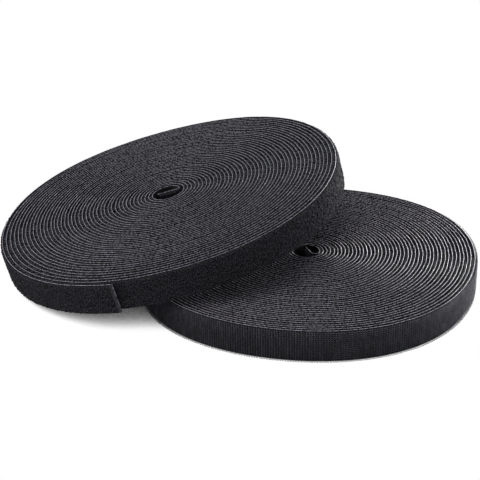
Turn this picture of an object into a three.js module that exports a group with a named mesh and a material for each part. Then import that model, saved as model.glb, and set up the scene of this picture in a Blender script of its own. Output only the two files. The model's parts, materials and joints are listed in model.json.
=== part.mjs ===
// A set of hook and loop tape: two coreless rolls of woven tape, each wound flat on itself into a disc.
// The hook roll lies on the table with its hooks outward. The loop roll has its pile outward, and
// leans with one edge on the table and its underside on the hook roll's rim.
// Millimetres, Z up, standing on Z = 0, with X along the way the loop roll climbs.
import * as THREE from "three";

// The tape: a woven ground with a bare selvedge along both edges, and hooks or pile on one face.
const TAPE_WIDTH = 20;
const SELVEDGE = 1.5;
const GROUND_THICKNESS = 0.8;
const HOOK_HEIGHT = 0.95;
const PILE_HEIGHT = 1.08;

// The winding. A modelled turn holds LAYERS_PER_TURN layers of tape, so about half the real turns fill
// the roll. The first turn thickens up from one layer, and the last thins down to the bare ground.
const LAYERS_PER_TURN = 2;
const TURN_GAP = 0.5;
const STEPS_PER_TURN = 24;
const HOOK_TURNS = 22;
const LOOP_TURNS = 22;
const HOOK_BORE_RADIUS = 8;
const LOOP_BORE_RADIUS = 9;

// Where each tape starts in its bore and ends on its rim, in degrees counter-clockwise from X.
const HOOK_START_ANGLE = 330;
const HOOK_END_ANGLE = 78;
const LOOP_START_ANGLE = 22;
const LOOP_END_ANGLE = 247;

// The free ends: the outer one peels off the rim, and the inner one bends into the bore.
const OUTER_END_LENGTH = 45;
const HOOK_END_BEND = 139;
const HOOK_END_BEND_RADIUS = 3.5;
const HOOK_END_REACH = 9;
const LOOP_END_BEND = 115;
const LOOP_END_BEND_RADIUS = 3;
const LOOP_END_REACH = 13;
const BEND_SEGMENTS = 8;

// The pose of the set, and the clearances between pieces that touch.
const LEAN_ANGLE = 13.56;
const LEAN_OFFSET = 51.7;
const SEAT_GAP = 0.3;

const HOOK_GROUND_COLOUR = 0x2a2a2d;
const HOOK_COLOUR = 0x1d1d20;
const LOOP_GROUND_COLOUR = 0x2c2c30;
const PILE_COLOUR = 0x222226;
const FABRIC_ROUGHNESS = 0.85;
const HOOK_ROUGHNESS = 0.55;

const radians = THREE.MathUtils.degToRad;
const STEP_ANGLE = 2 * Math.PI / STEPS_PER_TURN;

/** The hooks or pile stand on the ground, so one layer of tape is as thick as all of it. */
const layerThickness = (faceHeight) => GROUND_THICKNESS + SEAT_GAP + faceHeight;

/** One sub-part: a plan outline raised from one height to another. */
function raised(name, outline, bottom, top, colour, roughness) {
  const geometry = new THREE.ExtrudeGeometry(outline, {
    depth: top - bottom,
    bevelEnabled: false,
    curveSegments: BEND_SEGMENTS,
  });
  geometry.translate(0, 0, bottom);
  const material = new THREE.MeshStandardMaterial({ color: colour, roughness, metalness: 0 });
  const mesh = new THREE.Mesh(geometry, material);
  mesh.name = name;
  return mesh;
}

/** Inner and outer radius of the wound strip at every step: each turn lies on the turn below it. */
function windingRadii(boreRadius, layer, lastStep) {
  const inner = [];
  const outer = [];
  for (let step = 0; step <= Math.ceil(lastStep); step++) {
    const turnsFromStart = step / STEPS_PER_TURN;
    const turnsToEnd = Math.max(0, lastStep - step) / STEPS_PER_TURN;
    const full = LAYERS_PER_TURN * layer;
    const growing = layer + (full - layer) * Math.min(1, turnsFromStart);
    const thinning = GROUND_THICKNESS + (full - GROUND_THICKNESS) * Math.min(1, turnsToEnd);
    const below = outer[step - STEPS_PER_TURN];
    const onBore = boreRadius + (layer + TURN_GAP) * turnsFromStart;
    inner.push(below === undefined ? onBore : below + TURN_GAP);
    outer.push(inner[step] + Math.min(growing, thinning));
  }
  return { inner, outer };
}

/** Point of a wound face at a step, whole or part: between whole steps the face is a straight facet. */
function facePoint(radii, step, startAngle) {
  const before = Math.floor(step);
  const corner = (index) => {
    const angle = startAngle + index * STEP_ANGLE;
    return new THREE.Vector2(Math.cos(angle), Math.sin(angle)).multiplyScalar(radii[index]);
  };
  return step === before ? corner(before) : corner(before).lerp(corner(before + 1), step - before);
}

/** All points of a wound face between two steps. */
function facePoints(radii, from, to, startAngle) {
  const points = [facePoint(radii, from, startAngle)];
  for (let step = Math.floor(from) + 1; step < to; step++) {
    points.push(facePoint(radii, step, startAngle));
  }
  points.push(facePoint(radii, to, startAngle));
  return points;
}

/** Plan outline of a strip of tape between its outer and inner faces. */
function stripOutline(inner, outer, from, to, startAngle) {
  const outside = facePoints(outer, from, to, startAngle);
  const inside = facePoints(inner, from, to, startAngle);
  return new THREE.Shape([...outside, ...inside.reverse()]);
}

/** Plan outline of an inner end: it leaves the winding along X, bends towards -Y and runs straight. */
function bentEndOutline(thickness, bendRadius, bendAngle, reach) {
  const start = SEAT_GAP / 2;
  const centreY = -thickness / 2 - bendRadius;
  const from = Math.PI / 2;
  const to = from - bendAngle;
  const wide = bendRadius + thickness / 2;
  const tight = bendRadius - thickness / 2;
  const tip = (radius) => new THREE.Vector2(
    start + radius * Math.cos(to) + reach * Math.sin(to),
    centreY + radius * Math.sin(to) - reach * Math.cos(to),
  );
  const outline = new THREE.Shape();
  outline.absarc(start, centreY, wide, from, to, true);
  outline.lineTo(tip(wide).x, tip(wide).y);
  outline.lineTo(tip(tight).x, tip(tight).y);
  outline.absarc(start, centreY, tight, to, from, false);
  return outline;
}

/** Smallest distance from the points of one face to the facets of another. */
function leastGap(points, face) {
  const nearest = new THREE.Vector3();
  let least = Infinity;
  const flat = (point) => new THREE.Vector3(point.x, point.y, 0);
  for (let i = 1; i < face.length; i++) {
    const facet = new THREE.Line3(flat(face[i - 1]), flat(face[i]));
    for (const point of points) {
      facet.closestPointToPoint(flat(point), true, nearest);
      least = Math.min(least, nearest.distanceTo(flat(point)));
    }
  }
  return least;
}

/** A roll of tape on its own axis, lying on Z = 0: winding, face of hooks or pile, and both free ends. */
function tapeRoll(roll) {
  const { name, face, faceHeight, boreRadius, groundColour, faceColour, faceRoughness, bend } = roll;
  const startAngle = radians(roll.startAngle);
  const layer = layerThickness(faceHeight);
  const partTurn = THREE.MathUtils.euclideanModulo(roll.endAngle - roll.startAngle, 360) / 360;
  const lastStep = (roll.turns + partTurn) * STEPS_PER_TURN;
  const { inner, outer } = windingRadii(boreRadius, layer, lastStep);
  const faceInner = outer.map((radius) => radius + SEAT_GAP);
  const faceOuter = faceInner.map((radius) => radius + faceHeight);

  // The outer end takes the last stretch of the strip, and the face shows on the last whole turn.
  const stepLength = STEP_ANGLE * outer[outer.length - 1];
  const halfCut = SEAT_GAP / 2 / stepLength;
  const hingeStep = lastStep - OUTER_END_LENGTH / stepLength;
  const faceStart = lastStep - STEPS_PER_TURN + 2 * halfCut;
  const faceBottom = SELVEDGE;
  const faceTop = TAPE_WIDTH - SELVEDGE;

  const windingOutline = stripOutline(inner, outer, 0, hingeStep - halfCut, startAngle);
  const faceOutline = stripOutline(faceInner, faceOuter, faceStart, hingeStep - halfCut, startAngle);
  const endOutline = stripOutline(inner, outer, hingeStep + halfCut, lastStep, startAngle);
  const endFaceOutline = stripOutline(faceInner, faceOuter, hingeStep + halfCut, lastStep, startAngle);
  const winding = raised(`${name}_winding`, windingOutline, 0, TAPE_WIDTH, groundColour, FABRIC_ROUGHNESS);
  const faceBand = raised(`${name}_${face}`, faceOutline, faceBottom, faceTop, faceColour, faceRoughness);

  // The outer end swings about a line across the tape, level with the top of its hooks or pile.
  const hinge = facePoint(faceOuter, hingeStep, startAngle);
  const outerEnd = new THREE.Group();
  outerEnd.name = `${name}_outer_end_hinge`;
  outerEnd.position.set(hinge.x, hinge.y, 0);
  const endName = `${name}_outer_end`;
  const endStrip = raised(endName, endOutline, 0, TAPE_WIDTH, groundColour, FABRIC_ROUGHNESS);
  const endBand = raised(`${endName}_${face}`, endFaceOutline, faceBottom, faceTop, faceColour, faceRoughness);
  for (const piece of [endStrip, endBand]) {
    piece.position.set(-hinge.x, -hinge.y, 0);
    outerEnd.add(piece);
  }

  // The inner end swings about a line across the tape, at the outer side of its first layer.
  const startRadius = boreRadius + layer;
  const innerEnd = new THREE.Group();
  innerEnd.name = `${name}_inner_end_hinge`;
  innerEnd.position.set(startRadius * Math.cos(startAngle), startRadius * Math.sin(startAngle), 0);
  innerEnd.rotation.z = startAngle - Math.PI / 2;
  innerEnd.translateX(SEAT_GAP / 2);
  const innerOutline = bentEndOutline(layer, bend.radius, radians(bend.angle), bend.reach);
  innerEnd.add(raised(`${name}_inner_end`, innerOutline, 0, TAPE_WIDTH, groundColour, FABRIC_ROUGHNESS));

  const turnGap = leastGap(
    facePoints(outer, 0, lastStep - STEPS_PER_TURN, startAngle),
    facePoints(inner, STEPS_PER_TURN, lastStep, startAngle),
  );
  console.log(`${name} tape: least gap between turns ${turnGap.toFixed(3)} mm`);

  const group = new THREE.Group();
  group.name = `${name}_roll`;
  group.add(winding, faceBand, outerEnd, innerEnd);
  return group;
}

const hookRoll = tapeRoll({
  name: "hook",
  face: "rows",
  faceHeight: HOOK_HEIGHT,
  boreRadius: HOOK_BORE_RADIUS,
  turns: HOOK_TURNS,
  startAngle: HOOK_START_ANGLE,
  endAngle: HOOK_END_ANGLE,
  bend: { angle: HOOK_END_BEND, radius: HOOK_END_BEND_RADIUS, reach: HOOK_END_REACH },
  groundColour: HOOK_GROUND_COLOUR,
  faceColour: HOOK_COLOUR,
  faceRoughness: HOOK_ROUGHNESS,
});

const loopRoll = tapeRoll({
  name: "loop",
  face: "pile",
  faceHeight: PILE_HEIGHT,
  boreRadius: LOOP_BORE_RADIUS,
  turns: LOOP_TURNS,
  startAngle: LOOP_START_ANGLE,
  endAngle: LOOP_END_ANGLE,
  bend: { angle: LOOP_END_BEND, radius: LOOP_END_BEND_RADIUS, reach: LOOP_END_REACH },
  groundColour: LOOP_GROUND_COLOUR,
  faceColour: PILE_COLOUR,
  faceRoughness: FABRIC_ROUGHNESS,
});

/** Box of an object and all it holds, from its points. */
function boxOf(object) {
  object.updateWorldMatrix(true, true);
  return new THREE.Box3().setFromObject(object, true);
}

// Lean the loop roll: its lowest edge meets the table, and its underside meets the hook roll's rim on
// the near side, where the sloping plane first touches.
loopRoll.rotation.y = -radians(LEAN_ANGLE);
loopRoll.position.y = LEAN_OFFSET;
loopRoll.position.z = -boxOf(loopRoll).min.z;
const rimX = boxOf(hookRoll.getObjectByName("hook_winding")).min.x;
const seatHeight = TAPE_WIDTH + SEAT_GAP / Math.cos(radians(LEAN_ANGLE));
loopRoll.position.x = rimX + (loopRoll.position.z - seatHeight) / Math.tan(radians(LEAN_ANGLE));

// The set's origin is the middle of its footprint.
const set = new THREE.Group();
set.name = "hook_and_loop_tape_set";
set.add(hookRoll, loopRoll);
const middle = boxOf(set).getCenter(new THREE.Vector3());
for (const roll of [hookRoll, loopRoll]) {
  roll.position.x -= middle.x;
  roll.position.y -= middle.y;
}

export default set;
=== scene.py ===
# %% [markdown]
# # Hook and loop tape, a set of two rolls
#
# A roll of hook tape lies on a table and a roll of loop tape leans on it. Each roll is one strip of
# woven nylon, 15 to 16 m long, wound flat on itself with no core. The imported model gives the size, the
# place and the joints. This lesson gives both tapes their real turns, hooks, pile and finish.

# %% Load the frame
import json
import math

import bpy
import numpy as np
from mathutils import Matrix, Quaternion, Vector


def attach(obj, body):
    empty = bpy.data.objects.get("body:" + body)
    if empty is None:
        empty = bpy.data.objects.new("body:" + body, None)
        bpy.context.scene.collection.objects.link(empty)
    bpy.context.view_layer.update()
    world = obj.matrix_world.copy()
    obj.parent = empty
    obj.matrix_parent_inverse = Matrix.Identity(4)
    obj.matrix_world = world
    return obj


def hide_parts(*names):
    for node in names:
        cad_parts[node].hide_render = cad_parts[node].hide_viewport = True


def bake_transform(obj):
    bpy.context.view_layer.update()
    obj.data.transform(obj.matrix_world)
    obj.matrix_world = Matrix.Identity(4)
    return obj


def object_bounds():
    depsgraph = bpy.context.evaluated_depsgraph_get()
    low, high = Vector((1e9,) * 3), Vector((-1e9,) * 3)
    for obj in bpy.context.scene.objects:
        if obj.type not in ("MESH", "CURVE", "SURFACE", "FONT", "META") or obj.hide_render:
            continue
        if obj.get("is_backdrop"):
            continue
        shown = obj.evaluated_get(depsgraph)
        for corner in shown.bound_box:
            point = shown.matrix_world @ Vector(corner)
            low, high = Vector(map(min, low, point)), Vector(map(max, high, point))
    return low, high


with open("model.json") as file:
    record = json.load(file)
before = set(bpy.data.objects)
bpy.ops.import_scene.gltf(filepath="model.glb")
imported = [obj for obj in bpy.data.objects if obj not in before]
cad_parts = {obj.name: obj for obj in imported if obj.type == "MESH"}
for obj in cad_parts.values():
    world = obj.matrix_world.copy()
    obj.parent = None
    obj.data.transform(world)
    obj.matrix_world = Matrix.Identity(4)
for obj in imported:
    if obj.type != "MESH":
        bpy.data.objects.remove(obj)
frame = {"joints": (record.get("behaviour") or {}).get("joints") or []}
cad_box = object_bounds()
joints = {joint["name"]: joint for joint in frame["joints"]}
scene = bpy.context.scene
scene.view_settings.view_transform = "Standard"
MM = 0.001

# %% [markdown]
# ## Camera
#
# The set is seen from a little above the table with a long lens, so the rolls look like flat ellipses
# with hardly any perspective. A camera can be placed by its own position and turns, but here it is
# described as a photographer would: the point it aims at, its direction round the set, its height
# angle, its distance and the lens. Each of those can then be changed by itself.

# %% Place the camera
VIEW_TARGET = Vector((10.7, 37.5, 0.0)) * MM
VIEW_AZIMUTH = math.radians(8.70)
VIEW_ELEVATION = math.radians(24.76)
VIEW_ROLL = math.radians(-1.03)
VIEW_DISTANCE = 858.0 * MM
LENS = 92.3
SENSOR = 36.0
FAR_CLIP = 20.0

forward = Vector((
    math.sin(VIEW_AZIMUTH) * math.cos(VIEW_ELEVATION),
    math.cos(VIEW_AZIMUTH) * math.cos(VIEW_ELEVATION),
    -math.sin(VIEW_ELEVATION),
))
camera = bpy.data.objects.new("camera", bpy.data.cameras.new("camera"))
camera.data.lens = LENS
camera.data.sensor_width = SENSOR
camera.data.clip_end = FAR_CLIP
camera.rotation_mode = "QUATERNION"
camera.rotation_quaternion = forward.to_track_quat("-Z", "Y") @ Quaternion((0, 0, 1), VIEW_ROLL)
camera.location = VIEW_TARGET - forward * VIEW_DISTANCE
scene.collection.objects.link(camera)
scene.camera = camera
print("camera at", [round(v, 3) for v in camera.location])

# %% [markdown]
# ## Nodes and colours
#
# Every finish below is a small graph of shader nodes. It could be wired by hand in the shader editor,
# but a few lines of code are easier to read and to change. One helper adds a node, sets its values and
# links its inputs, and another turns the hex colours that a paint chart gives into linear light.

# %% Helpers for materials
def hex_colour(text):
    """Linear RGBA of an sRGB hex colour such as "8a8a8e"."""
    channels = [int(text[i:i + 2], 16) / 255 for i in (0, 2, 4)]
    linear = [c / 12.92 if c <= 0.04045 else ((c + 0.055) / 1.055) ** 2.4 for c in channels]
    return (*linear, 1.0)


def add_node(tree, kind, values=None, links=None):
    """Add a node: values set its properties or sockets, and links feed sockets from other nodes."""
    node = tree.nodes.new(kind)
    for key, value in (values or {}).items():
        if isinstance(key, int) or key in node.inputs:
            node.inputs[key].default_value = value
        else:
            setattr(node, key, value)
    for key, source in (links or {}).items():
        tree.links.new(source, node.inputs[key])
    return node


def new_material(name, roughness, ior, gloss=0.5):
    """A material ready for nodes. Returns the material, its node tree and its shader."""
    material = bpy.data.materials.new(name)
    material.use_nodes = True
    shader = material.node_tree.nodes["Principled BSDF"]
    shader.inputs["Roughness"].default_value = roughness
    shader.inputs["IOR"].default_value = ior
    shader.inputs["Specular IOR Level"].default_value = gloss
    return material, material.node_tree, shader


print("mid grey in linear light:", [round(channel, 3) for channel in hex_colour("808080")])

# %% [markdown]
# ## Light and table
#
# The set stands in a white photographer's tent. A low soft box at the back on the right picks out the
# edges of the tape, a small card close by on the right lifts the side of the hook roll, a wide box
# overhead lights the faces, and a weaker one fills in from the left. The front is left dim, which keeps
# the black sides black.
#
# The table is white paper. Paper that is lit until it reads as white would need so much light that the
# rolls turn grey. So the camera sees the paper as white from the start, and the paper's own material
# shades it where the rolls hide the open sky. Gloss on the tapes sees a white tent and white paper.

# %% Lamps
def soft_lamp(name, place, aim, width, height, power):
    """A rectangular soft box at a place, aimed at a point, in metres and watts."""
    lamp = bpy.data.objects.new(name, bpy.data.lights.new(name, "AREA"))
    lamp.data.shape = "RECTANGLE"
    lamp.data.size = width
    lamp.data.size_y = height
    lamp.data.energy = power
    lamp.location = place
    lamp.rotation_mode = "QUATERNION"
    lamp.rotation_quaternion = (Vector(aim) - Vector(place)).to_track_quat("-Z", "Y")
    scene.collection.objects.link(lamp)
    print(f"{name}: {width} x {height} m, {power} W")


soft_lamp("right_soft_box", place=(0.9, 0.795, 0.16), aim=(0.06, 0.0, 0.02),
          width=0.9, height=0.3, power=35.0)
soft_lamp("right_card", place=(0.3, -0.06, 0.025), aim=(0.14, -0.07, 0.012),
          width=0.2, height=0.03, power=0.23)
soft_lamp("top_soft_box", place=(0.0, 0.0, 1.35), aim=(0.0, 0.0, 0.0),
          width=1.3, height=1.0, power=9.0)
soft_lamp("left_soft_box", place=(-1.15, -0.05, 0.3), aim=(-0.1, 0.0, 0.02),
          width=0.6, height=0.5, power=4.2)

# %% White tent
TENT_GLOW = 0.42


def seen_rays(tree):
    """Two factors: a ray from the camera, and a ray that shows the background in gloss or glass."""
    rays = add_node(tree, "ShaderNodeLightPath")
    mirrored = add_node(tree, "ShaderNodeMath", {"operation": "MAXIMUM"},
                        {0: rays.outputs["Is Glossy Ray"], 1: rays.outputs["Is Transmission Ray"]})
    return rays.outputs["Is Camera Ray"], mirrored.outputs[0]


def shown_instead(tree, factor, real, shown):
    """Swap a surface for another where a factor is one."""
    return add_node(tree, "ShaderNodeMixShader", links={"Fac": factor, 1: real, 2: shown}).outputs[0]


world = bpy.data.worlds.new("white_tent")
scene.world = world
world.use_nodes = True
tent = world.node_tree.nodes["Background"]
tent.inputs["Color"].default_value = hex_colour("f4f6fa")
tent.inputs["Strength"].default_value = TENT_GLOW
to_camera, to_mirror = seen_rays(world.node_tree)
white = add_node(world.node_tree, "ShaderNodeBackground", {"Color": (1, 1, 1, 1), "Strength": 1.0})
sky = shown_instead(world.node_tree, to_camera, tent.outputs[0], white.outputs[0])
sky = shown_instead(world.node_tree, to_mirror, sky, white.outputs[0])
world.node_tree.links.new(sky, world.node_tree.nodes["World Output"].inputs["Surface"])
print(f"tent glows at {TENT_GLOW} of white")

# %% Paper table
TABLE_HALF = 3.0
SHADE_REACH = 80.0 * MM
FULL_SHADE = 0.03
NO_SHADE = 0.31
DEEPEST_SHADE = 0.02
SHADE_SAMPLES = 16

# Uncoated paper: even and matt, with a soft shade. The shade follows the share of open sky that a point
# sees, from FULL_SHADE up to NO_SHADE, where the paper is white.
paper, paper_tree, paper_shader = new_material("white_paper", roughness=0.9, ior=1.45)
paper_shader.inputs["Base Color"].default_value = hex_colour("f2f2f2")
open_sky = add_node(paper_tree, "ShaderNodeAmbientOcclusion", {
    "samples": SHADE_SAMPLES, "Distance": SHADE_REACH})
exposure = add_node(paper_tree, "ShaderNodeMapRange", {
    "interpolation_type": "SMOOTHSTEP", "From Min": FULL_SHADE, "From Max": NO_SHADE,
    "To Min": DEEPEST_SHADE}, {"Value": open_sky.outputs["AO"]})
exposed = add_node(paper_tree, "ShaderNodeEmission", links={"Strength": exposure.outputs[0]})
to_camera, to_mirror = seen_rays(paper_tree)
sheet = shown_instead(paper_tree, to_camera, paper_shader.outputs[0], exposed.outputs[0])
mirrored = add_node(paper_tree, "ShaderNodeBsdfDiffuse", {"Color": (1, 1, 1, 1)})
sheet = shown_instead(paper_tree, to_mirror, sheet, mirrored.outputs[0])
paper_tree.links.new(sheet, paper_tree.nodes["Material Output"].inputs["Surface"])

table_mesh = bpy.data.meshes.new("table")
corners = [(x * TABLE_HALF, y * TABLE_HALF, 0.0) for x, y in ((-1, -1), (1, -1), (1, 1), (-1, 1))]
table_mesh.from_pydata(corners, [], [(0, 1, 2, 3)])
table_mesh.materials.append(paper)
table = bpy.data.objects.new("table", table_mesh)
scene.collection.objects.link(table)
table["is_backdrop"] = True
print(f"table: {2 * TABLE_HALF} m square")

# %% [markdown]
# ## One strip of tape
#
# Everything on a roll sits somewhere along one strip, so the strip is written once as a path in the
# roll's own plane: a straight free end in the bore, a bend, then a spiral that climbs one layer a turn,
# out to the cut end on the rim. A cloth simulation could wind it too, but a wound tape is held by its
# neighbours, so a formula gives the same shape at once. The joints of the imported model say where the
# bend and the peeling end are, and the roll's axis and spacing are worked out from them. A point on the
# tape is then given by its length along the strip, how far it stands off the strip's back, and its
# height across the width.

# %% The tape's path
TAPE_WIDTH = 19.8 * MM
GROUND = 0.31 * MM

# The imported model's gap between pieces, the way from a hinge to the seam of its free end, and the points
# that draw one turn, the bend and the straight end.
SEAT = 0.3 * MM
SEAM = 9.0 * MM
STEPS = 1440
BEND_STEPS = 80
REACH_STEPS = 40

# How loosely it is wound: outer turns that hang slack over a share of the roll, a tail that springs off
# the rim, edges that stand up, and turns that sway and ripple. SLACK_PEAK makes the most slack 1.
SLACK_SHARE = 0.55
SLACK_PEAK = 6.75
TAIL_LIFT = 1.0 * MM
TAIL_RUN = 30.0 * MM
EDGE_PLAY = 0.3 * MM
SWAY = 0.05 * MM
RIPPLE = 0.035 * MM

# Waves that never fall in step: the first one, and the step to each that follows.
SWAY_RATES = (1.37, 0.71)
RIPPLE_WAVES = (2.1 * MM, 0.7 * MM)
SLOW_WAVES = (31.0 * MM, 17.0 * MM)
QUICK_WAVES = (1.7 * MM, 0.6 * MM)
SLOW_PART = 1 / 9
QUICK_PART = 1 / 36
WAVES = 6


class Tape:
    """A strip of tape wound into a roll, as a path with a side that faces out.

    The spiral runs from a start angle to an end angle, over a number of turns. Its inner end bends into
    the bore at a bend radius and reaches on straight. Each lobe is a count of bulges round the rim, their
    size and the angle that one faces, and a count of 0 is plain growth. The slack is how far loose turns
    sink inwards, and the angle where they sink most.
    """

    def __init__(self, name, bore, layer, turns, start, end, bend, bend_radius, reach, lobes, slack, seed):
        swing = joints[f"{name}_inner_end_swing"]
        peel = joints[f"{name}_outer_end_peel"]
        self.name = name
        self.layer = layer
        self.up = np.array(Vector(swing["axis"]).normalized())
        self.across = np.array((0.0, 1.0, 0.0))
        self.climb = np.cross(self.across, self.up)
        first = np.array((math.cos(start), math.sin(start)))
        clockwise = np.array((first[1], -first[0]))
        to_hinge = first * (bore + layer) + clockwise * SEAT / 2
        self.centre = np.array(swing["pos_m"]) - self.solid(to_hinge)
        hinge = self.flat(np.array(peel["pos_m"]))
        hinge_angle = math.atan2(hinge[1], hinge[0])

        # Spiral: the back of the strip climbs evenly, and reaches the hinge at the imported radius. With
        # no core to hold it, the roll bulges softly towards the rim, and its tail springs off a little.
        whole = turns + ((end - start) % math.tau) / math.tau
        hinge_turns = whole - ((end - hinge_angle) % math.tau) / math.tau
        self.pitch = (np.linalg.norm(hinge) - bore - layer) / hinge_turns
        turn = np.linspace(0.0, whole, int(whole * STEPS))
        angle = start + math.tau * turn
        self.waves = np.random.default_rng(seed).uniform(0.0, math.tau, WAVES)
        radius = bore + self.pitch * turn
        to_end = (whole - turn) * math.tau * radius[-1]
        bulge = sum(size * np.cos(count * (angle - math.radians(facing))) for count, size, facing in lobes)
        sprung = TAIL_LIFT * np.clip(1 - to_end / TAIL_RUN, 0.0, 1.0) ** 2
        radius += bulge * (turn / whole) ** 2 + sprung
        slack_size, slack_facing = slack
        from_rim = np.clip((1 - turn / whole) / SLACK_SHARE, 0.0, 1.0)
        loose = SLACK_PEAK * from_rim * (1 - from_rim) ** 2
        radius -= slack_size * loose * (0.5 + 0.5 * np.cos(angle - slack_facing)) ** 2
        rate, rate_step = SWAY_RATES
        sway = sum(np.sin(angle * (rate + rate_step * i) + phase) for i, phase in enumerate(self.waves))
        wound = np.clip(np.minimum(turn, hinge_turns - turn), 0.0, 1.0)
        ripple = self.waver(np.cumsum(radius) * (angle[1] - angle[0]), *RIPPLE_WAVES)
        radius += (SWAY * sway + RIPPLE * ripple) * wound
        spiral = radius[:, None] * np.stack([np.cos(angle), np.sin(angle)], 1)

        # Inner end: from the start of the spiral it bends clockwise into the bore, then runs straight.
        inside = bend_radius - layer / 2
        swept = np.linspace(bend, 0.0, BEND_STEPS)[:-1, None]
        arc = first * (bore - inside + inside * np.cos(swept)) + clockwise * inside * np.sin(swept)
        ahead = clockwise * math.cos(bend) - first * math.sin(bend)
        straight = arc[0] + ahead * np.linspace(reach, 0.0, REACH_STEPS)[:-1, None]

        self.path = np.concatenate([straight, arc, spiral])
        steps = np.linalg.norm(np.diff(self.path, axis=0), axis=1)
        self.s = np.concatenate([[0.0], np.cumsum(steps)])
        along = np.gradient(self.path, self.s, axis=0)
        along /= np.linalg.norm(along, axis=1)[:, None]
        self.out = np.stack([along[:, 1], -along[:, 0]], 1)
        heading = np.unwrap(np.arctan2(along[:, 1], along[:, 0]))
        self.turned = np.concatenate([[0.0], np.cumsum(np.abs(np.diff(heading)))])

        # Places along the strip: the covered turns, the start of the spiral, the peel hinge, the end, the
        # seams of the free ends, and where the face of the tape shows once the end is peeled off.
        spiral_s = self.s[len(straight) + len(arc):]
        self.covered_s = spiral_s[:-STEPS]
        self.covered_room = radius[STEPS:] - radius[:-STEPS]
        self.s_start = spiral_s[0]
        self.s_hinge = float(np.interp(hinge_turns, turn, spiral_s))
        self.s_end = self.s[-1]
        self.s_inner_seam = self.s_start + SEAM
        self.s_outer_seam = self.s_hinge - SEAM
        self.s_face = float(np.interp(whole - 1, turn, spiral_s)) - (self.s_end - self.s_hinge)

    def solid(self, flat):
        """A vector in the roll's plane, in the frame of the set."""
        return flat[..., 0:1] * self.climb + flat[..., 1:2] * self.across

    def flat(self, point):
        """A point of the set, in the roll's plane."""
        offset = point - self.centre
        return np.array((offset @ self.climb, offset @ self.across))

    def waver(self, s, first, step):
        """A sum of waves at lengths s, from a first wave by a step to each that follows."""
        return sum(np.sin(s / (first + step * i) + phase) for i, phase in enumerate(self.waves))

    def play(self, s):
        """How far the strip's edge stands up from its lowest place: wound turns never lie quite level."""
        slow = self.waver(s, *SLOW_WAVES)
        quick = self.waver(s, *QUICK_WAVES)
        return EDGE_PLAY * (0.5 + SLOW_PART * slow + QUICK_PART * quick)

    def place(self, s, off, height):
        """Points at lengths s along the strip, standing off its back, at a height across its width."""
        s, off, height = np.broadcast_arrays(s, off, height)
        middle = np.stack([np.interp(s, self.s, self.path[:, i]) for i in (0, 1)], -1)
        out = np.stack([np.interp(s, self.s, self.out[:, i]) for i in (0, 1)], -1)
        level = height + self.play(s)
        return self.centre + self.solid(middle + out * off[..., None]) + level[..., None] * self.up

    def room(self, s):
        """The space from the strip's back out to the next turn's, at lengths s of the covered turns."""
        return np.interp(s, self.covered_s, self.covered_room)

    def axes(self, s):
        """Unit vectors along the strip and out of it, at lengths s."""
        out = self.solid(np.stack([np.interp(s, self.s, self.out[:, i]) for i in (0, 1)], -1))
        return np.cross(self.up, out), out

    def stations(self, start, end, longest, sharpest):
        """Lengths from start to end, spaced by both a longest step and a sharpest turn."""
        cost = self.s / longest + self.turned / sharpest
        low, high = np.interp((start, end), self.s, cost)
        return np.interp(np.linspace(low, high, max(3, math.ceil(high - low))), cost, self.s)


print(f"tape: {TAPE_WIDTH / MM:.1f} mm wide, ground {GROUND / MM:.2f} mm thick")

# %% [markdown]
# ## Two rolls
#
# The pale edges on each face were counted, a little over forty turns a roll. With nothing inside to
# hold it, neither roll is quite round. A lattice could push a round roll out of shape, but it would
# stretch the tape. Here low bulges are added to the radius instead, so that each turn follows the one
# below it and none of them cross.

# %% Both tapes
hook_tape = Tape(
    "hook", bore=8.0 * MM, layer=2.05 * MM, turns=42, start=math.radians(330), end=math.radians(78),
    bend=math.radians(139), bend_radius=3.5 * MM, reach=9.0 * MM,
    lobes=((0, 0.4 * MM, 0), (1, 0.76 * MM, -36), (2, 0.36 * MM, 45), (4, 1.5 * MM, 22)),
    slack=(0.0, 0.0), seed=11)
loop_tape = Tape(
    "loop", bore=9.0 * MM, layer=2.18 * MM, turns=41, start=math.radians(22), end=math.radians(247.5),
    bend=math.radians(115), bend_radius=3.0 * MM, reach=13.0 * MM,
    lobes=((0, 0.3 * MM, 0), (1, 0.7 * MM, -20), (2, 0.4 * MM, -38), (3, 0.9 * MM, 22), (4, 1.1 * MM, 43)),
    slack=(2.6 * MM, math.radians(-120)), seed=23)
for tape in (hook_tape, loop_tape):
    print(f"{tape.name} tape: {tape.s_end:.2f} m long, {tape.pitch / MM:.2f} mm a turn")

# %% [markdown]
# ## Meshes from arrays
#
# A strip with thousands of stations is far too much to build face by face, so the points and faces are
# worked out as whole arrays. Two makers cover everything here: a ribbon carries a closed section along
# the tape, and wires bend thin rods, which become hooks and loops of yarn.

# %% Mesh makers
SLANT_RUN = 15.0 * MM


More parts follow.
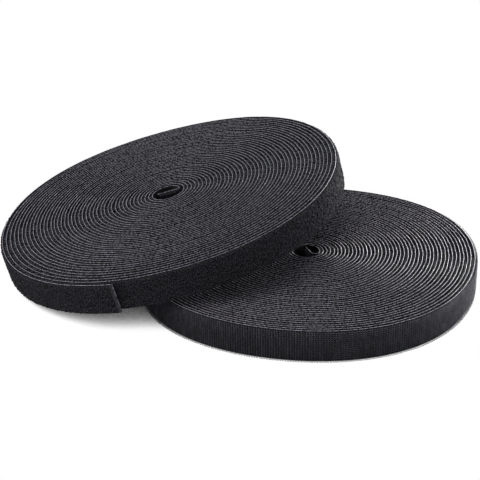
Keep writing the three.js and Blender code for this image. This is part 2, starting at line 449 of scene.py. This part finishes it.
def new_piece(name, points, faces, material, uv):
    """A closed mesh from arrays of points, walls and caps. Faces are turned to point out of the solid."""
    points = points.reshape(-1, 3)
    a, b, c, d = (points[faces[0][:, i]] for i in range(4))
    volume = (a * np.cross(b, c)).sum() + (a * np.cross(c, d)).sum()
    if volume < 0:
        faces = [f[:, ::-1] for f in faces]
    corners = np.concatenate([f.ravel() for f in faces]).astype(np.int32)
    sizes = np.concatenate([np.full(len(f), f.shape[1]) for f in faces])
    starts = np.concatenate([[0], np.cumsum(sizes)[:-1]]).astype(np.int32)
    mesh = bpy.data.meshes.new(name)
    mesh.vertices.add(len(points))
    mesh.vertices.foreach_set("co", points.astype(np.float32).ravel())
    mesh.loops.add(len(corners))
    mesh.loops.foreach_set("vertex_index", corners)
    mesh.polygons.add(len(sizes))
    mesh.polygons.foreach_set("loop_start", starts)
    mesh.update(calc_edges=True)
    mesh.shade_smooth()
    layer = mesh.uv_layers.new(name="tape")
    layer.uv.foreach_set("vector", uv.reshape(-1, 2)[corners].astype(np.float32).ravel())
    mesh.materials.append(material)
    piece = bpy.data.objects.new(name, mesh)
    scene.collection.objects.link(piece)
    print(f"{name}: {len(sizes)} faces")
    return piece


def ribbon(name, tape, stations, section, material, slant=0.0):
    """A closed strip: a section of (stand-off, height) corners, carried along the tape.

    Its far end is cut aslant: the top of the section stops short of the bottom by the slant.
    """
    section = np.array(section)
    s = np.asarray(stations)[:, None]
    if section.ndim == 2:
        section = np.broadcast_to(section, (len(s), *section.shape))
    ease = np.clip((s - s[-1] + SLANT_RUN) / SLANT_RUN, 0.0, 1.0)
    points = tape.place(s - slant * ease * section[..., 1] / TAPE_WIDTH, section[..., 0], section[..., 1])
    sides = points.shape[1]
    index = np.arange(points.shape[0] * sides).reshape(-1, sides)
    after = np.roll(index, -1, axis=1)
    walls = np.stack([index[:-1], after[:-1], after[1:], index[1:]], -1).reshape(-1, 4)
    caps = np.stack([index[0][::-1], index[-1]])
    uv = np.stack([np.broadcast_to(s, points.shape[:2]), section[..., 1]], -1) / MM
    return new_piece(name, points, [walls, caps], material, uv)


def wires(name, paths, normals, radius, sides, material, uv):
    """Rods along paths (rod, point, xyz), each bent in the plane square to its normal."""
    along = np.gradient(paths, axis=1)
    along /= np.linalg.norm(along, axis=2, keepdims=True)
    side = np.broadcast_to(normals[:, None], paths.shape)
    other = np.cross(along, side)
    turn = np.arange(sides) * math.tau / sides
    ring = side[:, :, None] * np.cos(turn)[:, None] + other[:, :, None] * np.sin(turn)[:, None]
    points = paths[:, :, None] + radius * ring
    rods, steps = paths.shape[:2]
    index = np.arange(rods * steps * sides).reshape(rods, steps, sides)
    after = np.roll(index, -1, axis=2)
    walls = np.stack([index[:, :-1], after[:, :-1], after[:, 1:], index[:, 1:]], -1).reshape(-1, 4)
    caps = np.concatenate([index[:, 0, ::-1], index[:, -1]])
    shared = np.broadcast_to(uv[:, None, None], (rods, steps, sides, 2)) / MM
    return new_piece(name, points, [walls, caps], material, shared)


print("makers: ribbon and wires")

# %% [markdown]
# ## Woven nylon ground
#
# The back of both tapes is a tight narrow weave of black nylon. Along both edges the weft turns back and
# leaves a beaded selvedge that catches the light, so on a wound roll it shows as a pale, broken spiral
# line. That pale line is a painted highlight in the ground's colour. Where the tape was cut, the nylon was
# sealed with heat and went grey. Threads could be modelled one by one, but there would be millions of
# them, so the weave is a pattern in the finish, laid out in millimetres along the tape. Its ribs are finer
# than a pixel, so they are drawn at 0.9 mm instead of 0.5 mm, and the beads at about 1.5 mm.

# %% Finish of the ground
NYLON_IOR = 1.53
NYLON_BLACK = "0c0c0e"
WEAVE_DEPTH = 0.12 * MM

# The tape's coordinates are in millimetres, and so are the sizes of its patterns. There are 6.5 beads in
# 10 mm of edge. The shares say how much of the selvedge is fully pale with the painted highlight, and how
# pale the sealed cut is.
HALF_WIDTH = TAPE_WIDTH / MM / 2
WEFT_PITCH = 0.9
WARP_PITCH = 0.6
BEAD_LENGTH = 10 / 6.5
SEALED = 1.8
SEALED_SHARE = 0.4
SELVEDGE_HIGHLIGHT_SHARE = 0.3


def tape_coordinates(tree):
    """Coordinates on the tape in millimetres: both, along, across, and off the middle of its width."""
    place = add_node(tree, "ShaderNodeUVMap", {"uv_map": "tape"})
    split = add_node(tree, "ShaderNodeSeparateXYZ", links={0: place.outputs["UV"]})
    from_middle = add_node(tree, "ShaderNodeMath", {"operation": "SUBTRACT", 1: HALF_WIDTH},
                           {0: split.outputs["Y"]})
    off_middle = add_node(tree, "ShaderNodeMath", {"operation": "ABSOLUTE"}, {0: from_middle.outputs[0]})
    return place.outputs["UV"], split.outputs["X"], split.outputs["Y"], off_middle.outputs[0]


def woven_ground(name, pale, gloss, selvedge, cut):
    """Black woven nylon with a painted highlight on its selvedges, and a sealed grey cut at the strip's
    outer end.
    """
    # A tight weave of smooth thread: black and a little silky. The bright broken lines at its edges are a
    # painted highlight.
    material, tree, shader = new_material(name, roughness=0.38, ior=NYLON_IOR, gloss=gloss)
    uv, along, across, off_middle = tape_coordinates(tree)
    # The selvedge band, where the painted highlight goes.
    edge = add_node(tree, "ShaderNodeMapRange", {
        "From Min": HALF_WIDTH - selvedge, "From Max": HALF_WIDTH - selvedge * SELVEDGE_HIGHLIGHT_SHARE,
        "interpolation_type": "SMOOTHSTEP"}, {"Value": off_middle})
    sealed = add_node(tree, "ShaderNodeMapRange", {
        "From Min": cut - SEALED, "From Max": cut, "To Max": SEALED_SHARE}, {"Value": along})
    edge_highlight_and_sealed_cut = add_node(tree, "ShaderNodeMath", {"operation": "MAXIMUM"},
                         {0: edge.outputs[0], 1: sealed.outputs[0]})

    # Weft and warp are waves along and across the tape, and where they meet they make the weave.
    weft_angle = add_node(tree, "ShaderNodeMath", {"operation": "MULTIPLY", 1: math.tau / WEFT_PITCH},
                          {0: along})
    weft = add_node(tree, "ShaderNodeMath", {"operation": "SINE"}, {0: weft_angle.outputs[0]})
    warp_angle = add_node(tree, "ShaderNodeMath", {"operation": "MULTIPLY", 1: math.tau / WARP_PITCH},
                          {0: across})
    warp = add_node(tree, "ShaderNodeMath", {"operation": "SINE"}, {0: warp_angle.outputs[0]})
    weave = add_node(tree, "ShaderNodeMath", {"operation": "MULTIPLY"},
                     {0: weft.outputs[0], 1: warp.outputs[0]})

    # The painted highlight breaks up: dull between the beads, bright on them, and lightly ribbed by the
    # weft.
    beads = add_node(tree, "ShaderNodeTexNoise", {"Scale": 1 / BEAD_LENGTH, "Detail": 1.0},
                     {"Vector": uv})
    bead_highlight = add_node(tree, "ShaderNodeMapRange", {
        "From Min": 0.36, "From Max": 0.64, "To Min": 0.2, "To Max": 1.35},
        {"Value": beads.outputs["Fac"]})
    thread = add_node(tree, "ShaderNodeMapRange", {
        "From Min": -1.0, "From Max": 1.0, "To Min": 0.7, "To Max": 1.1}, {"Value": weft.outputs[0]})
    shown = add_node(tree, "ShaderNodeMath", {"operation": "MULTIPLY"},
                     {0: bead_highlight.outputs[0], 1: thread.outputs[0]})
    share = add_node(tree, "ShaderNodeMath", {"operation": "MULTIPLY"},
                     {0: edge_highlight_and_sealed_cut.outputs[0], 1: shown.outputs[0]})
    colour = add_node(tree, "ShaderNodeMix", {
        "data_type": "RGBA", 6: hex_colour(NYLON_BLACK), 7: hex_colour(pale)}, {0: share.outputs[0]})
    bump = add_node(tree, "ShaderNodeBump", {"Strength": 0.5, "Distance": WEAVE_DEPTH},
                    {"Height": weave.outputs[0]})
    tree.links.new(colour.outputs[2], shader.inputs["Base Color"])
    tree.links.new(bump.outputs["Normal"], shader.inputs["Normal"])
    print(f"{name}: {len(tree.nodes)} nodes, selvedge {selvedge} mm")
    return material


# pale is the colour of each tape's painted selvedge highlight.
hook_ground = woven_ground("woven_nylon_hook_ground", pale="ece9f7", gloss=0.15, selvedge=0.1,
                           cut=hook_tape.s_end / MM)
loop_ground = woven_ground("woven_nylon_loop_ground", pale="b6b4c1", gloss=0.12, selvedge=0.24,
                           cut=loop_tape.s_end / MM)

# %% [markdown]
# ## The wound ground
#
# The ground's section is a thin bar with round edges. A curve with a bevel could carry it, but a mesh
# keeps the length along the tape at every point, which the finish needs. It is carried along the whole
# path, which gives the spiral every one of its turns. The strip has two seams, a little way from each
# hinge, because the imported model gives the free ends joints of their own. The last cuts were made by
# hand, and run slightly aslant. Between covered turns a plain filling stands in for what is too deep to
# see.

# %% Ground strips
BEND_RUN = 7.0 * MM
GROUND_STEP = 2.7 * MM
BED_STEP = 2.5 * MM
SHARPEST = math.radians(4)
BED_GAP = 0.04 * MM
ROOT = GROUND * 0.8
EDGE_POINTS = 5
CUT_SLANT = {"hook": 0.5 * MM, "loop": 0.6 * MM}


def round_bar(low, high, bottom, top):
    """Section of a flat strip with round edges, between two stand-offs and two heights."""
    half = (high - low) / 2
    middle = low + half
    turn = np.linspace(0.0, math.pi, EDGE_POINTS)
    lower = [(middle - half * math.cos(t), bottom + half - half * math.sin(t)) for t in turn]
    upper = [(middle + half * math.cos(t), top - half + half * math.sin(t)) for t in turn]
    return lower + upper


def ride_across(piece, tape, end):
    """Bake a piece at a free end into the set's frame. The span round its hinge is worked out but not
    used.
    """
    if end == "outer":
        near, far = tape.s_hinge - BEND_RUN / 2, tape.s_hinge + BEND_RUN
    else:
        near, far = tape.s_start + BEND_RUN, tape.s_start
    start, stop = tape.place(np.array([near, far]), 0.0, 0.0)
    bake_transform(piece)


def tape_ground(tape, material):
    """The ground of one tape: the wound strip and both free ends, each a sheet cut to its length."""
    section = round_bar(0.0, GROUND, 0.0, TAPE_WIDTH)
    cuts = {
        "inner": (0.0, tape.s_inner_seam),
        "wound": (tape.s_inner_seam, tape.s_outer_seam),
        "outer": (tape.s_outer_seam, tape.s_end),
    }
    for part, (begin, finish) in cuts.items():
        stations = tape.stations(begin, finish, GROUND_STEP, SHARPEST)
        node = f"{tape.name}_winding" if part == "wound" else f"{tape.name}_{part}_end"
        slant = CUT_SLANT[tape.name] if part == "outer" else 0.0
        strip = ribbon(f"{tape.name}_ground_{part}", tape, stations, section, material, slant)
        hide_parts(node)
        if part == "wound":
            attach(strip, f"{tape.name}_roll")
        else:
            ride_across(strip, tape, part)


def covered_bed(name, tape, depth, material):
    """A plain filling between the covered turns, a depth below either edge, out to the next turn."""
    stations = tape.stations(tape.s_inner_seam, tape.s_face, BED_STEP, SHARPEST)
    far = tape.room(stations) - BED_GAP
    near = np.full_like(far, ROOT)
    stand = np.stack([near, near, far, far], 1)
    height = np.broadcast_to((depth, TAPE_WIDTH - depth, TAPE_WIDTH - depth, depth), stand.shape)
    bed = ribbon(name, tape, stations, np.stack([stand, height], -1), material)
    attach(bed, f"{tape.name}_roll")
    return bed


tape_ground(hook_tape, hook_ground)
tape_ground(loop_tape, loop_ground)

# %% [markdown]
# ## Hooks
#
# The hooks are nylon monofilament, woven in as loops, set by heat and cut on one side so that each
# becomes a small cane. They stand in rows across the tape, 1.52 mm apart, and all bend the same way
# along it. Particles could scatter them, but hooks that are placed as whole arrays keep their rows, and
# each one can still be set a little loosely. On the rim every hook shows, drawn thicker than it is.
# Between the turns only the hooks along the edges can be seen, where they cross the dark gap like the
# rungs of a ladder.

# %% Finish of the hooks
# There are 9 painted streaks of light and shade in 10 mm along the tape and 1.2 across it. The band of
# painted shade along the edges starts and ends at these distances from an edge, in millimetres too.
STREAK_LENGTH = 10 / 9
STREAK_WIDTH = 10 / 1.2
EDGE_BAND = (0.9, 0.5)

# Drawn nylon monofilament: smooth rods with a small shine each. The streaks are painted light and shade,
# with rows lit and rows in shadow. The rim hooks and the hooks along the edges are lit and shaded copies
# of one nylon. The rim ones are painted light grey. The edge ones are painted dark, as in the shade
# between turns, with painted grey glints on some.
hook_nylon, hook_tree, hook_shader = new_material(
    "nylon_monofilament_hooks", roughness=0.36, ior=NYLON_IOR, gloss=0.24)
hook_uv, _, _, hook_off_middle = tape_coordinates(hook_tree)
streaks = add_node(hook_tree, "ShaderNodeMapping", {
    "vector_type": "POINT", "Scale": (1 / STREAK_LENGTH, 1 / STREAK_WIDTH, 1.0)}, {"Vector": hook_uv})
hook_noise = add_node(hook_tree, "ShaderNodeTexNoise", {"Scale": 1.0, "Detail": 2.0},
                      {"Vector": streaks.outputs[0]})
hook_light_streak_share = add_node(hook_tree, "ShaderNodeMapRange", {"From Min": 0.46, "From Max": 0.58},
                     {"Value": hook_noise.outputs["Fac"]})
# Rim hooks: painted light, with painted streaks of light and shade.
rim_hooks_painted_light = add_node(hook_tree, "ShaderNodeMix", {
    "data_type": "RGBA", 6: hex_colour("515058"), 7: hex_colour("6d6c75")}, {0: hook_light_streak_share.outputs[0]})
# Edge hooks: painted shade, with painted grey glints on some.
edge_hooks_painted_shade = add_node(hook_tree, "ShaderNodeMix", {
    "data_type": "RGBA", 6: hex_colour("08080a"), 7: hex_colour("5c5c62")}, {0: hook_light_streak_share.outputs[0]})
# The band of painted shade along both edges.
painted_shade_near_edge = add_node(hook_tree, "ShaderNodeMapRange", {
    "From Min": HALF_WIDTH - EDGE_BAND[0], "From Max": HALF_WIDTH - EDGE_BAND[1]},
    {"Value": hook_off_middle})
hook_colour = add_node(hook_tree, "ShaderNodeMix", {"data_type": "RGBA"},
                       {0: painted_shade_near_edge.outputs[0], 6: rim_hooks_painted_light.outputs[2], 7: edge_hooks_painted_shade.outputs[2]})
hook_tree.links.new(hook_colour.outputs[2], hook_shader.inputs["Base Color"])
print(f"{hook_nylon.name}: {len(hook_tree.nodes)} nodes")

# %% Hook rows
HOOK_ROW = 1.52 * MM
HOOK_ACROSS = 16
HOOK_FIELD = (0.2 * MM, TAPE_WIDTH - 0.9 * MM)
HOOK_HEIGHT = hook_tape.layer - GROUND
HOOK_RADIUS = 0.14 * MM
HOOK_LOOSE = 0.06 * MM
HOOK_LEAN = (0.75, 1.15)
HOOK_POINTS = 5
ROD_SIDES = 3
CURL_SHARE = 0.28
CURL_END = math.radians(-25)
EDGE_ROWS = (0.35 * MM, TAPE_WIDTH - 0.35 * MM)
EDGE_STEP = 3.0 * MM
EDGE_RADIUS = 0.13 * MM
EDGE_LOOSE = 0.2 * MM
HOOK_BED_DEPTH = 2.2 * MM


def hook_shape():
    """A cane in (along, out): a stem, then an arc that bends over and down."""
    curl = CURL_SHARE * HOOK_HEIGHT
    turn = np.linspace(math.pi, CURL_END, HOOK_POINTS - 1)
    arc = np.stack([curl + curl * np.cos(turn), HOOK_HEIGHT - curl + curl * np.sin(turn)], 1)
    return np.concatenate([[(0.0, 0.0)], arc])


def hooks(name, tape, s, height, lean, radius=HOOK_RADIUS):
    """Hooks at lengths s and heights, each with its own lean along the tape."""
    along, out = tape.axes(s)
    root = tape.place(s, ROOT, height)
    shape = hook_shape()
    paths = (root[:, None] + along[:, None] * lean[:, None, None] * shape[:, 0:1]
             + out[:, None] * shape[:, 1:2])
    normals = np.broadcast_to(tape.up, root.shape)
    return wires(name, paths, normals, radius, ROD_SIDES, hook_nylon, np.stack([s, height], -1))


def hook_grid(start, end, heights, step=HOOK_ROW, loose=HOOK_LOOSE):
    """Lengths, heights and leans of hooks in rows across the tape, each set a little loosely."""
    rows = np.arange(start, end, step)
    s, height = (grid.ravel() for grid in np.meshgrid(rows, heights, indexing="ij"))
    chance = np.random.default_rng(len(rows))
    shake = chance.normal(0.0, loose, (2, len(s)))
    return s + shake[0], height + shake[1], chance.uniform(*HOOK_LEAN, len(s))


def hook_face(tape):
    """Hooks of one tape: on the rim, on the free ends, and along the edges of the covered turns."""
    across = np.linspace(*HOOK_FIELD, HOOK_ACROSS)
    last_row = tape.s_end - HOOK_ROW
    rim = hooks("hook_rim_hooks", tape, *hook_grid(tape.s_face, tape.s_outer_seam, across))
    outer = hooks("hook_outer_end_hooks", tape, *hook_grid(tape.s_outer_seam, last_row, across))
    inner = hooks("hook_inner_end_hooks", tape, *hook_grid(HOOK_ROW, tape.s_inner_seam, across))
    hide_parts("hook_rows")
    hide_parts("hook_outer_end_rows")
    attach(rim, "hook_roll")
    ride_across(outer, tape, "outer")
    ride_across(inner, tape, "inner")
    for number, height in enumerate(EDGE_ROWS, 1):
        s, level, lean = hook_grid(tape.s_inner_seam, tape.s_face, [height], EDGE_STEP, EDGE_LOOSE)
        covered = hooks(f"hook_edge_row_{number}", tape, s, level.clip(*EDGE_ROWS), lean, EDGE_RADIUS)
        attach(covered, "hook_roll")
    covered_bed("hook_bed", tape, HOOK_BED_DEPTH, hook_ground)


hook_face(hook_tape)

# %% [markdown]
# ## Loop pile
#
# The other tape carries a pile of fine nylon loops, brushed so that they lie in all directions like a
# short fleece. A hair system could grow it, but hair has no faces and would be lost in a model file. So
# a mat with a rough surface gives the body of the pile, and loose loops of yarn stand out of it. Between
# the turns only tufts along the edges can be seen, above a plain filling. The yarn is drawn about three
# times as thick as it is, or it would not show at all.

# %% Finish of the pile
# There are 19 flecks of painted glint in 10 mm along the tape and 9 across it. The band of painted pale
# along the edges and the singed end are in millimetres too.
FLECK_LENGTH = 10 / 19
FLECK_WIDTH = 10 / 9
PAINTED_PALE_BAND = (0.6, 0.2)
SINGED = 2.5

# Brushed nylon pile: fine loops scatter the light, so it is matt and dark between them, with grey flecks
# that are painted glints on the loops. Yarn along the edges is painted pale, a painted highlight, and the
# cut end is greyer where it was singed.
pile_nylon, pile_tree, pile_shader = new_material(
    "brushed_nylon_pile", roughness=0.95, ior=NYLON_IOR, gloss=0.05)
pile_uv, pile_along, _, pile_off_middle = tape_coordinates(pile_tree)
flecks = add_node(pile_tree, "ShaderNodeMapping", {
    "vector_type": "POINT", "Scale": (1 / FLECK_LENGTH, 1 / FLECK_WIDTH, 1.0)}, {"Vector": pile_uv})
pile_noise = add_node(pile_tree, "ShaderNodeTexNoise", {"Scale": 1.0, "Detail": 4.0, "Roughness": 0.7},
                      {"Vector": flecks.outputs[0]})
pile_glint_share = add_node(pile_tree, "ShaderNodeMapRange", {"From Min": 0.46, "From Max": 0.72},
                     {"Value": pile_noise.outputs["Fac"]})
# Grey flecks among the black: painted glints.
pile_painted_glints = add_node(pile_tree, "ShaderNodeMix", {
    "data_type": "RGBA", 6: hex_colour(NYLON_BLACK), 7: hex_colour("56565c")}, {0: pile_glint_share.outputs[0]})
# Painted pale along the edges: a painted highlight.
pile_painted_pale_edge = add_node(pile_tree, "ShaderNodeMapRange", {
    "From Min": HALF_WIDTH - PAINTED_PALE_BAND[0], "From Max": HALF_WIDTH - PAINTED_PALE_BAND[1]},
    {"Value": pile_off_middle})
pile_colour = add_node(pile_tree, "ShaderNodeMix", {"data_type": "RGBA", 7: hex_colour("5c5c62")},
                       {0: pile_painted_pale_edge.outputs[0], 6: pile_painted_glints.outputs[2]})
singed = add_node(pile_tree, "ShaderNodeMapRange", {
    "From Min": loop_tape.s_end / MM - SINGED, "From Max": loop_tape.s_end / MM, "To Max": SEALED_SHARE},
    {"Value": pile_along})
sealed_pile = add_node(pile_tree, "ShaderNodeMix", {"data_type": "RGBA", 7: hex_colour("6e6e72")},
                       {0: singed.outputs[0], 6: pile_colour.outputs[2]})
pile_tree.links.new(sealed_pile.outputs[2], pile_shader.inputs["Base Color"])
print(f"{pile_nylon.name}: {len(pile_tree.nodes)} nodes")

# %% Pile mats
PILE_HEIGHT = loop_tape.layer - GROUND
PILE_FIELD = (0.35 * MM, TAPE_WIDTH - 0.7 * MM)
MAT_STEP = 0.5 * MM
MAT_ACROSS = 34
MAT_SHAKE = 0.28 * MAT_STEP
MAT_SHAKE_MOST = 0.4 * MAT_STEP
MAT_NEIGHBOUR = 0.8
MAT_ROUGH_MOST = 5.0
rng = np.random.default_rng(5)

# Shares of the pile's height: where the mat's face lies, how rough it is, its borders, and how much of
# it a taper takes away.
MAT_LEVEL = 0.74
MAT_ROUGH = 0.05
MAT_BORDER = 0.35
MAT_TAPERED = 0.8


def pile_mat(name, tape, start, end, slant=0.0, taper=0.0):
    """A mat of pile on the tape: a rough face, and a flat back just inside the ground."""
    stations = np.arange(start, end, MAT_STEP)
    heights = np.linspace(*PILE_FIELD, MAT_ACROSS)
    shake = rng.normal(0.0, MAT_SHAKE, (len(stations), MAT_ACROSS))
    rough = rng.normal(size=(len(stations), MAT_ACROSS))
    for axis in (0, 1):
        rough += MAT_NEIGHBOUR * (np.roll(rough, 1, axis) + np.roll(rough, -1, axis))
    thin = np.clip((stations - end) / taper + 1, 0.0, 1.0)[:, None] if taper else 0.0
    level = MAT_LEVEL + MAT_ROUGH * rough.clip(-MAT_ROUGH_MOST, MAT_ROUGH_MOST)
    stand = GROUND + PILE_HEIGHT * level * (1 - MAT_TAPERED * thin)
    stand[:, [0, -1]] = GROUND + PILE_HEIGHT * MAT_BORDER
    face = np.stack([stand, heights + shake.clip(-MAT_SHAKE_MOST, MAT_SHAKE_MOST)], -1)
    face[:, [0, -1], 1] = PILE_FIELD
    back_heights = np.broadcast_to(heights[[-1, 0]], (len(stations), 2))
    back = np.stack([np.full_like(back_heights, ROOT), back_heights], -1)
    return ribbon(name, tape, stations, np.concatenate([face, back], 1), pile_nylon, slant)


print(f"pile: {PILE_HEIGHT / MM:.2f} mm high, a point every {MAT_STEP / MM} mm along the tape")

# %% Loops of yarn
YARN_FIELD = (0.7 * MM, TAPE_WIDTH - 1.2 * MM)
YARN_RADIUS = 0.08 * MM
YARN_SIZE = 0.9 * MM
YARN_POINTS = 6
YARN_BASE = GROUND + PILE_HEIGHT * 0.55
RIM_LOOPS = 5600
TAIL_LOOPS = 440
TUFT_ROW = 2.3 * MM
TUFT_RADIUS = 0.34 * MM
TUFT_WIDTH = 0.4 * MM
TUFT_REACH = 2.0 * MM
TUFT_POINTS = 5
TUFT_LOOSE = 0.5 * MM
TUFT_UNEVEN = 0.15 * MM

# Chance, in each loop: how far it leans, and the share of the full width and height that it has.
LOOP_LEAN = 0.4
LOOP_LEAN_MOST = 1.5
LOOP_WIDE = (0.6, 1.1)
LOOP_TALL = (0.6, 1.0)


def pile_loops(name, tape, s, height, base, wide, tall, points, radius, painted_pale=False):
    """Loops of yarn that rise from a stand-off base, each in a plane of its own. The last flag paints the
    yarn pale, a painted highlight.
    """
    along, out = tape.axes(s)
    count = len(s)
    spin = rng.uniform(0.0, math.pi, count)[:, None]
    lie = along * np.cos(spin) + tape.up * np.sin(spin)
    lean = rng.normal(size=(count, 1)).clip(-LOOP_LEAN_MOST, LOOP_LEAN_MOST)
    rise = out + LOOP_LEAN * lie * lean
    rise /= np.linalg.norm(rise, axis=1, keepdims=True)
    turn = np.linspace(0.0, math.pi, points)
    half = wide / 2 * rng.uniform(*LOOP_WIDE, count)[:, None, None]
    peak = tall * rng.uniform(*LOOP_TALL, count)[:, None, None]
    root = tape.place(s, base, height)
    paths = (root[:, None] - lie[:, None] * half * np.cos(turn)[:, None]
             + rise[:, None] * peak * np.sin(turn)[:, None])
    normals = np.cross(lie, rise)
    normals /= np.linalg.norm(normals, axis=1, keepdims=True)
    # Flagged yarn takes the edges' painted pale highlight.
    shade = np.full(count, TAPE_WIDTH) if painted_pale else height
    return wires(name, paths, normals, radius, ROD_SIDES, pile_nylon, np.stack([s, shade], -1))


def loose_yarn(name, tape, start, end, count):
    """A number of loops of yarn, spread by chance over a stretch of the tape."""
    s = rng.uniform(start, end, count)
    height = rng.uniform(*YARN_FIELD, count)
    return pile_loops(name, tape, s, height, YARN_BASE, YARN_SIZE, YARN_SIZE, YARN_POINTS, YARN_RADIUS)


def edge_tufts(name, tape, height):
    """A row of tufts at a height between the covered turns, painted pale as a painted highlight."""
    rows = np.arange(tape.s_inner_seam, tape.s_face, TUFT_ROW)
    s = rows + rng.normal(0.0, TUFT_LOOSE, len(rows))
    level = height + rng.normal(0.0, TUFT_UNEVEN, len(rows))
    return pile_loops(name, tape, s, level, ROOT, TUFT_WIDTH, TUFT_REACH, TUFT_POINTS, TUFT_RADIUS, True)


print(f"yarn: {RIM_LOOPS} loops on the rim, {TAIL_LOOPS} on the tail")

# %% Pile on the tape
PILE_END_GAP = 0.5 * MM
INNER_END_GAP = 1.0 * MM
YARN_END_GAP = 1.0 * MM
TAIL_TAPER = 3.0 * MM
LOOP_BED_DEPTH = 1.2 * MM
TUFT_HEIGHTS = {
    "lower": PILE_FIELD[0],
    "upper_1": PILE_FIELD[1] - 0.9 * MM,
    "upper_2": PILE_FIELD[1] - 0.5 * MM,
}


def pile_face(tape):
    """Pile of one tape: on the rim, on the free ends, and between the covered turns."""
    seam = tape.s_outer_seam
    finish = tape.s_end - PILE_END_GAP
    slant = CUT_SLANT[tape.name]
    rim = pile_mat("loop_rim_pile", tape, tape.s_face, seam)
    rim_yarn = loose_yarn("loop_rim_yarn", tape, tape.s_face, seam, RIM_LOOPS)
    outer = pile_mat("loop_outer_end_pile_mat", tape, seam, finish, slant, TAIL_TAPER)
    outer_yarn = loose_yarn("loop_outer_end_yarn", tape, seam, finish - YARN_END_GAP - slant, TAIL_LOOPS)
    inner = pile_mat("loop_inner_end_pile_mat", tape, INNER_END_GAP, tape.s_inner_seam)
    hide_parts("loop_pile")
    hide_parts("loop_outer_end_pile")
    for piece in (rim, rim_yarn):
        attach(piece, "loop_roll")
    for piece in (outer, outer_yarn):
        ride_across(piece, tape, "outer")
    ride_across(inner, tape, "inner")
    bed = covered_bed("loop_bed", tape, LOOP_BED_DEPTH, pile_nylon)
    for row, height in TUFT_HEIGHTS.items():
        tufts = edge_tufts(f"loop_tufts_{row}", tape, height)
        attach(tufts, "loop_roll")


pile_face(loop_tape)

# %% [markdown]
# ## Size
#
# The dressed set has to fill the same box as the imported model, or the poses would not fit it. Both boxes
# could be compared by eye, but printed numbers are surer.

# %% Print both boxes
visual_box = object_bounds()
for kind, box in (("packed", cad_box), ("dressed", visual_box)):
    print(kind, "box in mm:", [[round(value / MM, 1) for value in corner] for corner in box])
